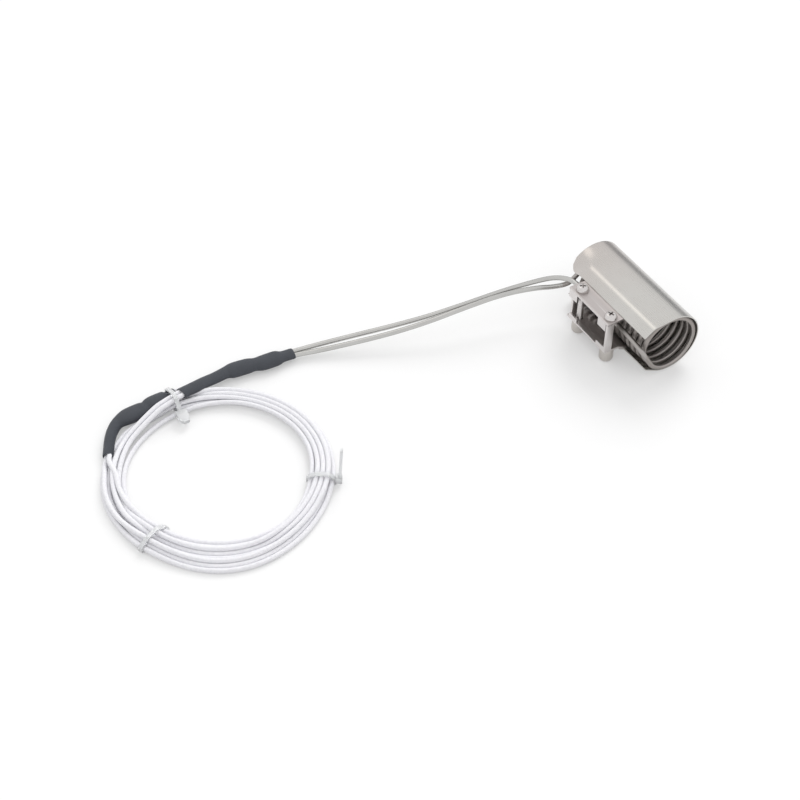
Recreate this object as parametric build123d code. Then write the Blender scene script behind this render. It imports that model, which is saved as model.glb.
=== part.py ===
from build123d import *
import math
import os

# Hot runner coil heater: a wound tube heater in a sheet sleeve that two screws clamp round a nozzle,
# with two cold leads spliced to fibreglass wires that are wound into a coil.
# Millimetres. X is the bore's axis and points out of the mouth, the clamp is on the -Y side, +Z is up.
# The origin is on the bore's axis, in the plane of the sleeve's mouth.

# Sleeve, rolled from sheet
sheet = 0.5
sleeve_outer_r = 14.3
sleeve_length = 57.2
upper_leave = 6.0             # degrees left of the top where the sheet leaves the round
upper_level = 9.0             # from there to the bend
upper_slope = 36.2            # degrees that the upper flap beyond the bend falls
upper_flap = 5.99
lower_leave = 26.5            # degrees left of the bottom where the lower flap leaves it
lower_flap = 6.7
lower_flap_clamp = 9.6        # the lower flap is longer where the clamp holds it
corner_cut = 6.5              # far corner of the upper flap, cut off

# Tube heater
tube_d = 2.2
tube_sides = 8
coil_clearance = 0.08         # between the sleeve's inner face and the turns
coil_pitch = 3.55
coil_turns = 15
turn_runs = 24                # straight runs that make one turn
mouth_stand_out = 0.3         # centre of the first turn, in front of the mouth
bored_turns = 2               # turns at each end that are wound tighter and bored to the nozzle's size
bore_clearance = 0.01         # the other turns stand this far outside the bore
bore_land = 0.05              # least depth of the bored lands

# Clamp jaws, folded from plate
plate = 1.0
jaw_start = 15.0              # behind the mouth
jaw_length = 28.3
jaw_reach = 8.75              # outer face of the jaws, beyond the round
upper_leg_start = 1.4         # where the upper jaw's leg starts under the upper flap, from the bend
leg_hidden = 5.5              # where the lower jaw's leg starts along the flap, from the end of the round
lower_plate_rise = 8.0        # above the floor
upper_lip_depth = 4.9         # below the top face
lower_lip_height = 2.9        # above the underside
lip_length = 5.6
lip_inset = 1.5
far_lip_inset = 0.3
stop_width = 3.5
stop_thickness = 1.2
stop_gap = 0.3                # left between the stops and the upper jaw
far_stop_inset = 1.8
fold_radius = 0.4

# Clamp screws and their round nuts
screw_margin = 3.2            # from the front of the jaws to the first screw
far_screw_margin = 4.5        # from the back of the jaws to the second
screw_reach = 5.1             # beyond the round
screw_d = 3.0
screw_hole_clearance = 0.4
head_d = 5.6
head_height = 2.4
head_top_inset = 1.2
head_edge_drop = 1.5
recess_width = 0.8
recess_length = 3.2
recess_depth = 1.3
nut_d = 6.2
nut_round = 1.8
nut_floor = 1.8
thread_clearance = 0.1

# Supply wires, sleeves over the splices, and crimps
wire_d = 2.1
shrink_wall = 0.45
shrink_sides = 12
crimp_d = 3.6
crimp_socket = 1.5
socket_clearance = 0.1

# Wound wires and their ties
hank_centre = (-37.5, -193.3)
hank_r = 41.5
hank_width = 8.6
hank_height = 4.2
hank_runs = 36
hank_sides = 8
tie_width = 2.5
tie_thickness = 0.9
tie_tail_thickness = 0.8
tie_clearance = 0.35
tie_head_length = 4.4
tie_head_depth = 3.2
tie_head_wider = 0.5
tie_head_up = 0.9

floor_z = -sleeve_outer_r
sleeve_inner_r = sleeve_outer_r - sheet
jaw_back = jaw_start + jaw_length
jaw_outer_y = -sleeve_outer_r - jaw_reach
lower_plate_top = floor_z + lower_plate_rise
hank_z = floor_z + tie_thickness + hank_height / 2
screw_y = -sleeve_outer_r - screw_reach
screw_places = [-jaw_start - screw_margin, -jaw_back + far_screw_margin]


def save(name, solid):
    export_step(solid, f"parts/{name}.step")
    print(name, "volume", round(solid.volume, 1))


def same_area(sides):
    """How much further out the corners of a flat-sided section lie than the round of the same area."""
    turn = 2 * math.pi / sides
    return math.sqrt(turn / math.sin(turn))


def flat_sided_tube(points, half_width, half_height, sides, reach, closed=False):
    """Tube of flat facets along straight runs, mitred where two runs meet; reach sets its corners out."""
    places = [Vector(*p) for p in points]
    if closed:
        places = places + [places[0], places[1]]
    runs = [(b - a).normalized() for a, b in zip(places, places[1:])]
    side = Vector(0, 0, 1).cross(runs[0])
    first = Plane(origin=places[0], x_dir=side, z_dir=runs[0])
    turn = 2 * math.pi / sides
    ring = [
        first.from_local_coords(Vector(
            half_width * reach * math.cos((k + 0.5) * turn),
            half_height * reach * math.sin((k + 0.5) * turn),
            0,
        ))
        for k in range(sides)
    ]
    rings = [ring]
    for i, place in enumerate(places[1:]):
        along = runs[i]
        mitre = (along + runs[i + 1]).normalized() if i + 1 < len(runs) else along
        ring = [p + along * ((place - p).dot(mitre) / along.dot(mitre)) for p in ring]
        rings.append(ring)
    if closed:
        rings = rings[1:-1] + [rings[1]]
    faces = []
    for near, far in zip(rings, rings[1:]):
        for k in range(sides):
            n = (k + 1) % sides
            faces.append(Face(Wire.make_polygon([near[k], near[n], far[n], far[k]])))
    if not closed:
        faces.append(Face(Wire.make_polygon(rings[0])))
        faces.append(Face(Wire.make_polygon(rings[-1])))
    return Solid(Shell(faces))


def round_tube(name, points, diameter):
    """Round tube of straight runs joined by tangent arcs; prints the radii of its bends."""
    places = [Vector(*p) for p in points]
    radii = []
    for before, here, after in zip(places, places[1:], places[2:]):
        shorter = min((here - before).length, (after - here).length)
        half_turn = math.radians((here - before).get_angle(after - here)) / 2
        radii.append(0.45 * shorter / math.tan(half_turn))
    path = FilletPolyline(*places, radius=radii)
    section = Plane(origin=path @ 0, z_dir=path % 0) * Circle(diameter / 2)
    solid = sweep(section, path=path)
    print(name, "length", round(path.length, 1), "radii", [round(r, 1) for r in radii])
    print(name, "volume by length", round(path.length * math.pi * diameter ** 2 / 4, 1))
    return solid


# Heating coil: one tube, wound, with its front end led back outside the turns
def heating_coil():
    corner = tube_d / 2 * same_area(tube_sides)
    flat = corner * math.cos(math.pi / tube_sides)
    turn_r = sleeve_inner_r - coil_clearance - corner
    bore_r = turn_r * math.cos(math.pi / turn_runs) - corner - bore_clearance
    bored_r = bore_r + flat - bore_land

    def leaving_angle(spot, way):
        """Angle at which a straight run to the spot leaves the turns."""
        straight_on = math.degrees(math.atan2(spot[1], spot[0])) % 360
        return straight_on + way * math.degrees(math.acos(bored_r / math.hypot(*spot)))

    first_angle = leaving_angle(return_leg[1][1:], 1)
    last_angle = leaving_angle(far_end[1][1:], -1) + 360 * coil_turns
    count = round((last_angle - first_angle) / 360 * turn_runs)
    step = (last_angle - first_angle) / count
    points = []
    for i in range(count + 1):
        r = bored_r if min(i, count - i) <= bored_turns * turn_runs else turn_r
        a = math.radians(first_angle + i * step)
        points.append((mouth_stand_out - i * step / 360 * coil_pitch, r * math.cos(a), r * math.sin(a)))
    route = return_leg[::-1] + points + far_end
    solid = flat_sided_tube(route, tube_d / 2, tube_d / 2, tube_sides, same_area(tube_sides))
    bore = Plane.YZ * Cylinder(bore_r, 3 * sleeve_length)
    print("nozzle bore radius", round(bore_r, 3), "last turn at", round(points[-1][0], 2))
    return solid - bore


# Sleeve: sheet rolled round the turns, both edges left as flaps and the upper one bent down, the gap at -Y
def along_flap(n_angle, way, distance, s):
    """Point on a flap, the distance from the axis and s along it from where it leaves the round."""
    a = math.radians(n_angle)
    n = (-math.sin(a), way * math.cos(a))
    d = (-math.cos(a), -way * math.sin(a))
    return (n[0] * distance + d[0] * s, n[1] * distance + d[1] * s)


def on_upper_flap(depth, s):
    """Point this deep under the outer face of the upper flap, s along it from the bend."""
    bend = along_flap(upper_leave, 1, sleeve_outer_r, upper_level)
    a = math.radians(upper_slope)
    return (bend[0] - s * math.cos(a) + depth * math.sin(a), bend[1] - s * math.sin(a) - depth * math.cos(a))


def sleeve_section(lower_length):
    top_out = along_flap(upper_leave, 1, sleeve_outer_r, 0)
    top_in = along_flap(upper_leave, 1, sleeve_inner_r, 0)
    low_out = along_flap(lower_leave, -1, sleeve_outer_r, 0)
    low_in = along_flap(lower_leave, -1, sleeve_inner_r, 0)
    inner_start = sheet * math.tan(math.radians(upper_slope - upper_leave) / 2)
    bend_out = on_upper_flap(0, 0)
    bend_in = on_upper_flap(sheet, inner_start)
    top_edge_out = on_upper_flap(0, upper_flap)
    top_edge_in = on_upper_flap(sheet, upper_flap)
    low_edge_out = along_flap(lower_leave, -1, sleeve_outer_r, lower_length)
    low_edge_in = along_flap(lower_leave, -1, sleeve_inner_r, lower_length)
    wire = Wire([
        Line(top_edge_out, bend_out),
        Line(bend_out, top_out),
        ThreePointArc(top_out, (sleeve_outer_r, 0), low_out),
        Line(low_out, low_edge_out),
        Line(low_edge_out, low_edge_in),
        Line(low_edge_in, low_in),
        ThreePointArc(low_in, (sleeve_inner_r, 0), top_in),
        Line(top_in, bend_in),
        Line(bend_in, top_edge_in),
        Line(top_edge_in, top_edge_out),
    ])
    return make_face(wire)


def clamp_sleeve():
    whole = extrude(Plane.YZ * sleeve_section(lower_flap), amount=-sleeve_length)
    held = extrude(Plane.YZ.offset(-jaw_start) * sleeve_section(lower_flap_clamp), amount=-jaw_length)
    bend_y = on_upper_flap(0, 0)[0]
    edge_y = on_upper_flap(0, upper_flap)[0]
    cut = Plane.XY * make_face(Polyline(
        (-sleeve_length, bend_y),
        (-sleeve_length, jaw_outer_y),
        (-sleeve_length + corner_cut, jaw_outer_y),
        (-sleeve_length + corner_cut, edge_y),
        close=True,
    ))
    return whole + held - extrude(cut, amount=sleeve_outer_r)


# Upper jaw: a plate on a leg under the upper flap, with two lips folded down at its outer edge
def upper_jaw():
    knee_top = on_upper_flap(sheet, upper_flap)
    top_z = knee_top[1]
    section = make_face(Polyline(
        on_upper_flap(sheet, upper_leg_start),
        knee_top,
        (jaw_outer_y, top_z),
        (jaw_outer_y, top_z - plate),
        (knee_top[0] + plate * math.tan(math.radians(upper_slope) / 2), top_z - plate),
        on_upper_flap(sheet + plate, upper_leg_start),
        close=True,
    ))
    jaw = extrude(Plane.YZ.offset(-jaw_start) * section, amount=-jaw_length)
    for front in (-jaw_start - lip_inset, -jaw_back + lip_length + far_lip_inset):
        jaw += Pos(front, jaw_outer_y, top_z) * Box(
            lip_length, plate, upper_lip_depth, align=(Align.MAX, Align.MIN, Align.MAX)
        )
    for x in screw_places:
        jaw -= Pos(x, screw_y, top_z) * Cylinder(screw_d / 2 + screw_hole_clearance / 2, 4 * plate)
    folded = [e for e in jaw.edges().filter_by(Axis.X) if abs(e.center().Y - jaw_outer_y) < 0.01
              and abs(e.center().Z - top_z) < 0.01]
    return fillet(folded, fold_radius), top_z


# Lower jaw: a plate on a leg on the lower flap, two lips folded up, and a stop folded up at each end
def lower_jaw(upper_top_z):
    a = math.radians(lower_leave)
    under_z = lower_plate_top - plate
    leg_out = along_flap(lower_leave, -1, sleeve_inner_r, leg_hidden)
    leg_in = along_flap(lower_leave, -1, sleeve_inner_r - plate, leg_hidden)
    knee_out_s = (under_z + math.cos(a) * sleeve_inner_r) / math.sin(a)
    knee_in_s = (lower_plate_top + math.cos(a) * (sleeve_inner_r - plate)) / math.sin(a)
    knee_out = along_flap(lower_leave, -1, sleeve_inner_r, knee_out_s)
    knee_in = along_flap(lower_leave, -1, sleeve_inner_r - plate, knee_in_s)
    section = make_face(Polyline(
        leg_out,
        knee_out,
        (jaw_outer_y, under_z),
        (jaw_outer_y, lower_plate_top),
        knee_in,
        leg_in,
        close=True,
    ))
    jaw = extrude(Plane.YZ.offset(-jaw_start) * section, amount=-jaw_length)
    for front in (-jaw_start - stop_thickness, -jaw_back + lip_length + lip_inset):
        jaw += Pos(front, jaw_outer_y, under_z) * Box(
            lip_length, plate, lower_lip_height, align=(Align.MAX, Align.MIN, Align.MIN)
        )
    stop_top = upper_top_z - plate - stop_gap
    stop_size = (stop_thickness, stop_width, stop_top - under_z)
    jaw += Pos(-jaw_start, jaw_outer_y, under_z) * Box(*stop_size, align=(Align.MAX, Align.MIN, Align.MIN))
    jaw += Pos(-jaw_back, jaw_outer_y + far_stop_inset, under_z) * Box(
        *stop_size, align=(Align.MIN, Align.MIN, Align.MIN)
    )
    for x in screw_places:
        jaw -= Pos(x, screw_y, lower_plate_top) * Cylinder(screw_d / 2 + screw_hole_clearance / 2, 4 * plate)
    folded = [e for e in jaw.edges().filter_by(Axis.X) if abs(e.center().Y - jaw_outer_y) < 0.01
              and abs(e.center().Z - under_z) < 0.01]
    return fillet(folded, fold_radius)


# Screws: pan heads with a cross recess, on the upper jaw
def clamp_screw(x, seat_z):
    profile = make_face([
        Line((0, head_height), (head_d / 2 - head_top_inset, head_height)),
        RadiusArc(
            (head_d / 2 - head_top_inset, head_height),
            (head_d / 2, head_height - head_edge_drop),
            head_edge_drop,
        ),
        Line((head_d / 2, head_height - head_edge_drop), (head_d / 2, 0)),
        Line((head_d / 2, 0), (0, 0)),
        Line((0, 0), (0, head_height)),
    ])
    head = revolve(Plane.XZ * profile, axis=Axis.Z)
    shank_length = seat_z - floor_z - nut_floor
    shank = Cylinder(screw_d / 2, shank_length, align=(Align.CENTER, Align.CENTER, Align.MAX))
    screw = head + shank
    for turn in (0, 90):
        screw -= Pos(0, 0, head_height) * Rot(0, 0, turn) * Box(
            recess_length, recess_width, recess_depth, align=(Align.CENTER, Align.CENTER, Align.MAX)
        )
    return Pos(x, screw_y, seat_z) * screw


# Nuts: round, closed and domed at the bottom, the heater's second rest on the floor
def clamp_nut(x):
    seat_z = lower_plate_top - plate
    height = seat_z - floor_z
    nut = Cylinder(nut_d / 2, height, align=(Align.CENTER, Align.CENTER, Align.MAX))
    nut = fillet(nut.edges().filter_by(GeomType.CIRCLE).sort_by(Axis.Z)[0], nut_round)
    hole = Cylinder(
        screw_d / 2 + thread_clearance / 2, height - nut_floor, align=(Align.CENTER, Align.CENTER, Align.MAX)
    )
    return Pos(x, screw_y, seat_z) * (nut - hole)


# Shrink sleeve over a pair of splices: an oval skin that bulges over the two crimps
def shrink_sleeve(stations):
    """Each station is a place on the centre line with half the outer width and half the outer height."""
    places = [Vector(*s[0]) for s in stations]
    outer = []
    inner = []
    for i, (place, (_, half_width, half_height)) in enumerate(zip(places, stations)):
        before = places[max(i - 1, 0)]
        after = places[min(i + 1, len(places) - 1)]
        along = (after - before).normalized()
        side = Vector(0, 0, 1).cross(along)
        ends = {0: -0.01, len(places) - 1: 0.01}
        outer.append(Plane(origin=place, x_dir=side, z_dir=along) * oval(half_width, half_height))
        inside = place + along * ends.get(i, 0)
        inner.append(Plane(origin=inside, x_dir=side, z_dir=along)
                     * oval(half_width - shrink_wall, half_height - shrink_wall))
    return loft(outer, ruled=True) - loft(inner, ruled=True)


def oval(half_width, half_height):
    turn = 2 * math.pi / shrink_sides
    reach = 1 / math.cos(turn / 2)
    corners = []
    for k in range(shrink_sides):
        a = (k + 0.5) * turn
        corners.append((half_width * reach * math.cos(a), half_height * reach * math.sin(a)))
    return make_face(Polyline(*corners, close=True))


# Crimp: a barrel with a socket at each end
def crimp(start, end, start_d, end_d):
    a = Vector(*start)
    b = Vector(*end)
    length = (b - a).length
    barrel = Cylinder(crimp_d / 2, length, align=(Align.CENTER, Align.CENTER, Align.MIN))
    barrel -= Cylinder(
        (start_d + socket_clearance) / 2, crimp_socket, align=(Align.CENTER, Align.CENTER, Align.MIN)
    )
    barrel -= Pos(0, 0, length) * Cylinder(
        (end_d + socket_clearance) / 2, crimp_socket, align=(Align.CENTER, Align.CENTER, Align.MAX)
    )
    return Plane(origin=a, z_dir=(b - a).normalized()) * barrel


# Wound wires: the outer shape of the whole bundle
def lead_coil():
    points = []
    for i in range(hank_runs):
        a = 2 * math.pi * i / hank_runs
        points.append((hank_centre[0] + hank_r * math.cos(a), hank_centre[1] + hank_r * math.sin(a), hank_z))
    flats_out = 1 / math.cos(math.pi / hank_sides)
    return flat_sided_tube(points, hank_width / 2, hank_height / 2, hank_sides, flats_out, closed=True)


# Cable tie: a strap round the bundle, its head on the inner side and the cut tail
def cable_tie(angle, hull, tail_length, tail_angle):
    """The hull is what the strap goes round, seen along the bundle: distance from its centre, height."""
    a = math.radians(angle)
    radial = (math.cos(a), math.sin(a), 0)
    plane = Plane(origin=(*hank_centre, 0), x_dir=radial, z_dir=(math.sin(a), -math.cos(a), 0))
    inside = make_face(Polyline(*hull, close=True))
    band = offset(inside, amount=tie_thickness, kind=Kind.INTERSECTION) - inside
    tie = extrude(plane * band, amount=tie_width / 2, both=True)
    head_at = Pos(hank_r - hank_width / 2 - tie_clearance - tie_head_depth / 2, hank_z + tie_head_up)
    head = head_at * Rectangle(tie_head_depth, tie_head_length)
    tie += extrude(plane * head, amount=tie_width / 2 + tie_head_wider, both=True)
    tail_middle = head_at * Rot(0, 0, tail_angle) * Pos(tail_length / 2, 0)
    tail = tail_middle * Rectangle(tail_length, tie_tail_thickness)
    return tie + extrude(plane * tail, amount=tie_width / 2, both=True)


def bundle_hull():
    """The bundle's own section, a little wider, for a tie that holds nothing else."""
    turn = 2 * math.pi / hank_sides
    reach = 1 / math.cos(turn / 2)
    hull = []
    for k in range(hank_sides):
        a = (k + 0.5) * turn
        hull.append((
            hank_r + (hank_width / 2 + tie_clearance) * reach * math.cos(a),
            hank_z + hank_height / 2 * reach * math.sin(a),
        ))
    return hull


# Routes of the leads and wires, and the places along the two sleeves
# Crimps: where each barrel starts and ends
crimp_places = [
    ((-87.98, -144.5, -11.2), (-88.32, -149.9, -11.2)),
    ((-87.02, -157.6, -11.2), (-87.61, -163.0, -11.2)),
    ((-88.94, -195.4, -11.0), (-88.6, -200.8, -11.0)),
    ((-84.83, -207.2, -11.2), (-84.58, -212.6, -11.2)),
]

shrink_stations = [
    [
        ((-86.0, -136.0, -11.6), 2.95, 1.8),
        ((-86.3, -141.0, -11.4), 2.95, 1.9),
        ((-86.5, -144.0, -11.2), 3.9, 2.6),
        ((-86.9, -150.3, -11.2), 3.9, 2.6),
        ((-87.7, -153.7, -11.2), 3.5, 2.1),
        ((-88.4, -157.0, -11.2), 3.9, 2.6),
        ((-89.1, -163.4, -11.2), 3.9, 2.6),
        ((-89.7, -166.8, -11.2), 3.15, 1.95),
        ((-90.0, -172.0, -10.8), 3.05, 1.85),
        ((-88.7, -177.8, -9.6), 3.05, 1.85),
        ((-86.1, -183.0, -8.3), 3.05, 1.8),
        ((-83.2, -188.0, -7.4), 3.0, 1.75),
    ],
    [
        ((-88.6, -190.2, -10.9), 2.9, 1.75),
        ((-88.1, -193.2, -10.95), 2.95, 1.85),
        ((-87.5, -195.2, -11.0), 3.9, 2.6),
        ((-87.1, -201.4, -11.0), 3.9, 2.6),
        ((-86.6, -204.2, -11.1), 3.5, 2.1),
        ((-86.3, -206.8, -11.2), 3.9, 2.6),
        ((-86.0, -213.2, -11.2), 3.9, 2.6),
        ((-85.2, -216.6, -11.7), 3.15, 1.95),
        ((-82.6, -221.8, -11.8), 3.05, 1.85),
        ((-77.8, -226.6, -11.9), 3.05, 1.85),
        ((-71.8, -229.6, -12.0), 3.0, 1.75),
    ],
]

# The heater's two ends: the front one is led back beside the turns, the far one leaves between the flaps
return_leg = [
    (mouth_stand_out, -sleeve_outer_r, 0.2),
    (-0.2, -sleeve_outer_r - 0.45, 1.15),
    (-1.4, -sleeve_outer_r - 0.65, 1.85),
    (-3.4, -sleeve_outer_r - 0.68, 2.2),
    (-16.0, -sleeve_outer_r - 0.75, 3.6),
    (-46.0, -sleeve_outer_r - 0.95, 3.9),
]
far_end = [
    (-52.5, -sleeve_outer_r + 0.9, 3.7),
    (-52.9, -sleeve_outer_r - 1.2, 1.7),
    (-53.3, -sleeve_outer_r - 2.9, 0.85),
    (-53.8, -sleeve_outer_r - 4.6, 0.6),
]
# Cold leads, from there to the first two crimps
lead_1_route = [
    return_leg[-1],
    (-49.6, -sleeve_outer_r - 0.974, 3.936),
    (-53.4, -17.2, 4.1),
    (-56.8, -21.9, 4.1),
    (-59.2, -29.4, 3.4),
    (-62.6, -43.5, 1.7),
    (-65.9, -62.2, -0.8),
    (-69.6, -78.2, -3.5),
    (-74.5, -93.5, -6.1),
    (-79.6, -108.6, -8.4),
    (-84.3, -124.0, -10.4),
    (-87.15, -135.9, -11.6),
    (-87.45, -140.9, -11.4),
    (-87.9, -143.2, -11.22),
    (-88.07, -145.95, -11.2),
]
lead_2_route = [
    far_end[-1],
    (-54.9, -sleeve_outer_r - 8.34, 0.05),
    (-56.9, -30.9, 0.6),
    (-60.4, -46.0, 0.1),
    (-63.4, -63.5, -1.9),
    (-66.6, -80.0, -4.4),
    (-71.3, -95.5, -6.9),
    (-76.4, -110.7, -9.2),
    (-81.2, -124.6, -11.1),
    (-84.85, -136.1, -11.6),
    (-85.15, -141.1, -11.4),
    (-84.75, -145.6, -11.2),
    (-84.75, -149.8, -11.2),
    (-86.7, -154.7, -11.2),
    (-87.17, -159.0, -11.2),
]
# Wires, each where it runs free: from a crimp to the bundle, or from the bundle to a crimp
wire_routes = {
    "wire_1_start": [
        (-88.23, -148.45, -11.2),
        (-88.5, -152.6, -11.2),
        (-90.55, -157.6, -11.2),
        (-91.2, -163.2, -11.2),
        (-90.8, -166.9, -11.2),
        (-91.1, -172.1, -10.8),
        (-89.74, -178.2, -9.6),
        (-87.07, -183.5, -8.3),
        (-84.15, -188.5, -7.4),
        (-82.6, -191.4, -7.3),
        (-81.5, -196.0, -7.7),
        (-80.9, -200.8, -7.85),
    ],
    "wire_2_start": [
        (-87.46, -161.55, -11.2),
        (-87.75, -164.2, -11.2),
        (-88.6, -167.2, -11.2),
        (-88.9, -171.9, -10.8),
        (-87.66, -177.4, -9.6),
        (-85.13, -182.5, -8.3),
        (-82.25, -187.4, -7.4),
        (-80.6, -190.4, -7.3),
        (-79.3, -195.2, -7.7),
        (-78.6, -199.9, -7.85),
    ],
    "wire_1_end": [
        (-84.3, -175.9, -13.0),
        (-86.5, -181.1, -13.1),
        (-88.9, -185.4, -12.4),
        (-89.9, -188.4, -11.2),
        (-89.6, -190.9, -10.9),
        (-89.05, -193.7, -10.98),
        (-88.85, -196.85, -11.0),
    ],
    "wire_2_end": [
        (-82.1, -176.8, -13.0),
        (-84.3, -182.0, -13.1),
        (-86.7, -186.0, -12.3),
        (-87.7, -189.2, -11.0),
        (-87.1, -192.9, -10.95),
        (-85.15, -197.2, -11.0),
        (-84.95, -201.2, -11.0),
        (-84.77, -208.65, -11.2),
    ],
    "wire_3_start": [
        (-88.69, -199.35, -11.0),
        (-88.4, -206.0, -11.1),
        (-88.15, -213.0, -11.3),
        (-86.25, -217.0, -11.7),
        (-83.48, -222.4, -11.8),
        (-78.44, -227.4, -11.9),
        (-72.29, -230.5, -12.0),
        (-66.9, -233.8, -12.0),
        (-61.8, -236.9, -12.0),
    ],
    "wire_4_start": [
        (-84.64, -211.15, -11.2),
        (-84.5, -214.0, -11.3),
        (-84.05, -216.6, -11.65),
        (-81.72, -221.1, -11.8),
        (-77.16, -225.7, -11.9),
        (-71.31, -228.6, -12.0),
        (-66.0, -231.6, -12.0),
        (-61.0, -234.6, -12.0),
    ],
}
# What the first tie goes round: the bundle, the second sleeve's end and the two wires on top
wide_hull = [
    (37.0, floor_z + tie_thickness),
    (37.0, -9.0),
    (41.3, -6.3),
    (46.8, -6.3),
    (54.5, -9.3),
    (54.5, -12.5),
    (53.2, floor_z + tie_thickness),
]


os.makedirs("parts", exist_ok=True)
save("heating_coil", heating_coil())
save("clamp_sleeve", clamp_sleeve())
upper, upper_top_z = upper_jaw()
save("upper_jaw", upper)
save("lower_jaw", lower_jaw(upper_top_z))
for i, x in enumerate(screw_places):
    save(f"clamp_screw_{i + 1}", clamp_screw(x, upper_top_z))
    save(f"clamp_nut_{i + 1}", clamp_nut(x))
save("cold_lead_1", round_tube("cold_lead_1", lead_1_route, tube_d))
save("cold_lead_2", round_tube("cold_lead_2", lead_2_route, tube_d))
for name, route in wire_routes.items():
    save(name, round_tube(name, route, wire_d))
for i, (start, end) in enumerate(crimp_places):
    save(f"crimp_{i + 1}", crimp(start, end, tube_d if i < 2 else wire_d, wire_d))
for i, stations in enumerate(shrink_stations):
    save(f"shrink_sleeve_{i + 1}", shrink_sleeve(stations))
save("wound_wires", lead_coil())
save("cable_tie_1", cable_tie(179.3, wide_hull, 5.0, 100))
save("cable_tie_2", cable_tie(57.6, bundle_hull(), 16.0, 85))
save("cable_tie_3", cable_tie(-63.6, bundle_hull(), 5.0, 110))
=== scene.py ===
import bmesh
import bpy
import math
from mathutils import Matrix, Vector


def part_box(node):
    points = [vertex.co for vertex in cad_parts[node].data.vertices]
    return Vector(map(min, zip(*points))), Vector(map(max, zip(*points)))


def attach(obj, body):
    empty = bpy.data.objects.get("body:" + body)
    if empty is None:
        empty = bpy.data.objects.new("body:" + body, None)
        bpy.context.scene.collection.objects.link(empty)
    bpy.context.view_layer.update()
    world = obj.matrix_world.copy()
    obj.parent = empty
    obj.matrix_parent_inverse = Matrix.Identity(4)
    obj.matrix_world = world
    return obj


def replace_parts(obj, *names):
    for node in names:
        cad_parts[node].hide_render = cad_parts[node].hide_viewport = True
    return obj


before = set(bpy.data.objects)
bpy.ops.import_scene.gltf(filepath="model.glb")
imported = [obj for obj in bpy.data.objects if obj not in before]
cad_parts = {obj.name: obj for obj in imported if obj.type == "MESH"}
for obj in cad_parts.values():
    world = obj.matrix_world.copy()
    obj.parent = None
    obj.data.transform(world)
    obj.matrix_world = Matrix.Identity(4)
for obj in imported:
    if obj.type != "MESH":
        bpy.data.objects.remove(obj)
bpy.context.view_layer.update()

# Heating coil: a 2.2 mm steel tube, packed with a resistance wire, wound to fit inside the sleeve.
# Its front end is led back outside the turns; two turns at each end are tighter and bored to size.
# The steel has gone grey-brown from heat; the bored lands and the outer runs are brighter.
tube_radius = 0.0011
turn_radius = 0.01256
bored_turn_radius = 0.0123
bore_radius = 0.011284
coil_front = 0.0003
turn_pitch = 0.00355
first_angle = 209.267
last_angle = 5535.846
runs_a_turn = 24
bored_turns = 2
return_leg = [
    (-0.046, -0.01525, 0.0039),
    (-0.016, -0.01505, 0.0036),
    (-0.0034, -0.01498, 0.0022),
    (-0.0014, -0.01495, 0.00185),
    (-0.0002, -0.01475, 0.00115),
    (0.0003, -0.0143, 0.0002),
]
far_end = [
    (-0.0525, -0.0134, 0.0037),
    (-0.0529, -0.0155, 0.0017),
    (-0.0533, -0.0172, 0.00085),
    (-0.0538, -0.0189, 0.0006),
]


class Channel:
    """An output socket in a material. Arithmetic on it adds Math nodes; add() makes any other node."""

    def __init__(self, tree, socket=None):
        self.tree = tree
        self.socket = socket

    def add(self, kind, settings=None, values=None, output=0):
        node = self.tree.nodes.new(kind)
        for key, value in (settings or {}).items():
            setattr(node, key, value)
        for key, value in (values or {}).items():
            self.feed(node, key, value)
        return Channel(self.tree, node.outputs[output] if node.outputs else None)

    def feed(self, node, key, value):
        if isinstance(value, Channel):
            self.tree.links.new(value.socket, node.inputs[key])
        else:
            node.inputs[key].default_value = value

    def maths(self, operation, first, second):
        return self.add("ShaderNodeMath", {"operation": operation}, {0: first, 1: second})

    def blend(self, first, second):
        """Colour mix from first to second by this value."""
        return self.add("ShaderNodeMix", {"data_type": "RGBA"}, {0: self, 6: first, 7: second}, 2)

    def __add__(self, other):
        return self.maths("ADD", self, other)

    def __radd__(self, other):
        return self.maths("ADD", other, self)

    def __sub__(self, other):
        return self.maths("SUBTRACT", self, other)

    def __rsub__(self, other):
        return self.maths("SUBTRACT", other, self)

    def __mul__(self, other):
        return self.maths("MULTIPLY", self, other)

    def __rmul__(self, other):
        return self.maths("MULTIPLY", other, self)


def finish(name, **uniform):
    """A new material with these uniform values; gives it, its shader and an empty channel."""
    material = bpy.data.materials.new(name)
    material.use_nodes = True
    shader = material.node_tree.nodes["Principled BSDF"]
    for key, value in uniform.items():
        shader.inputs[key.replace("_", " ")].default_value = value
    return material, shader, Channel(material.node_tree)


def roughen(channel, shader, height, strength, distance):
    """Feeds the shader's normal with a bump of this height."""
    values = {"Strength": strength, "Distance": distance, "Height": height}
    channel.feed(shader, "Normal", channel.add("ShaderNodeBump", values=values))


def smooth_line(points, steps):
    """Points along the smooth line that has these control points."""
    curve = bpy.data.curves.new("line", "CURVE")
    curve.dimensions = "3D"
    spline = curve.splines.new("NURBS")
    spline.points.add(len(points) - 1)
    for spot, point in zip(spline.points, points):
        spot.co = (*point, 1)
    spline.order_u = 3
    spline.use_endpoint_u = True
    spline.resolution_u = steps
    holder = bpy.data.objects.new("line", curve)
    mesh = bpy.data.meshes.new_from_object(holder)
    line = [v.co.copy() for v in mesh.vertices]
    bpy.data.objects.remove(holder)
    bpy.data.curves.remove(curve)
    bpy.data.meshes.remove(mesh)
    return line


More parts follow.
